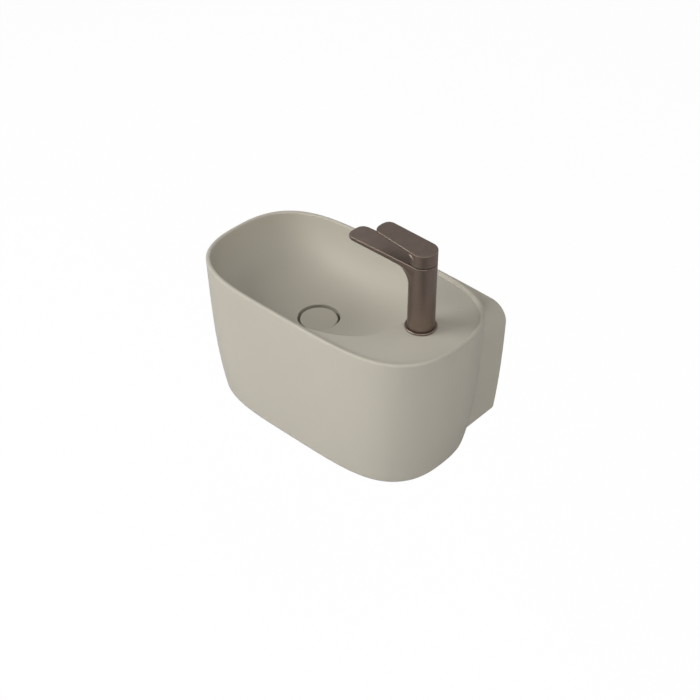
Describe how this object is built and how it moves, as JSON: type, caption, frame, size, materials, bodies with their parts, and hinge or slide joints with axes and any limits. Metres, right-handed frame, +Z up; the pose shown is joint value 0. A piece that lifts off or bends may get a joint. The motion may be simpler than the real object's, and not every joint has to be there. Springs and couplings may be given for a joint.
{
  "type": "wall-hung basin",
  "caption": "Compact wall-hung ceramic basin with an offset oval bowl, a flat deck carrying a single-lever mixer and a push-to-open waste under a ceramic cover.",
  "frame": {"origin": "on the wall face, midway between the two wall bolts", "axes": "+Z up, +Y into the wall, +X along the rim towards the tap end"},
  "size_m": [0.4498, 0.2729, 0.3721],
  "materials": {
    "ceramic": "matt greige glaze",
    "bronze": "brushed dark bronze coating",
    "brass": "machined",
    "steel": "zinc plated",
    "rubber": "matt black",
    "white_plastic": "moulded, off-white",
    "dark_plastic": "moulded, near black"
  },
  "bodies": {
    "root": {"basin_body": "ceramic", "wall_stud_left": "steel", "wall_stud_right": "steel", "wall_sleeve_left": "white_plastic", "wall_sleeve_right": "white_plastic", "wall_washer_left": "steel", "wall_washer_right": "steel", "wall_nut_left": "steel", "wall_nut_right": "steel", "tap_base_gasket": "rubber", "tap_base_ring": "bronze", "tap_body": "bronze", "cartridge_seal": "rubber", "cartridge_shell": "white_plastic", "cartridge_nut": "brass", "aerator_shell": "bronze", "aerator_insert": "dark_plastic", "aerator_seal": "rubber", "tap_rubber_washer": "rubber", "tap_metal_washer": "steel", "tap_stud": "steel", "tap_nut": "brass", "cold_inlet": "brass", "hot_inlet": "brass", "click_spring": "steel", "click_housing": "white_plastic", "waste_spider": "brass", "waste_body": "bronze", "waste_flange_seal": "rubber", "waste_cone_gasket": "rubber", "waste_slip_washer": "white_plastic", "waste_backnut": "brass"},
    "carrier": {"lever_carrier": "dark_plastic", "lever_hinge_pin": "steel"},
    "lever": {"lever_handle": "bronze"},
    "stem": {"cartridge_stem": "brass", "stem_seal": "rubber"},
    "plug": {"plug_cover": "ceramic", "plug_carrier": "dark_plastic", "plug_seal": "rubber", "click_stem": "brass"}
  },
  "joints": [
    {"name": "lever_turn", "type": "hinge", "parent": "root", "child": "carrier", "pos_m": [0.1515, -0.15, 0.18], "axis": [0, 0, 1], "range_deg": [-45, 45]},
    {"name": "lever_lift", "type": "hinge", "parent": "carrier", "child": "lever", "pos_m": [0.1675, -0.15, 0.18325], "axis": [0, 1, 0], "range_deg": [0, 18]},
    {"name": "stem_lift", "type": "slide", "parent": "carrier", "child": "stem", "axis": [0, 0, 1], "range_m": [0, 0.0052]},
    {"name": "plug_lift", "type": "slide", "parent": "root", "child": "plug", "axis": [0, 0, 1], "range_m": [0, 0.008], "deforming": ["click_spring"]}
  ],
  "couplings": [
    {"joint": "stem_lift", "follows": "lever_lift", "m_per_rad": 0.016}
  ]
}
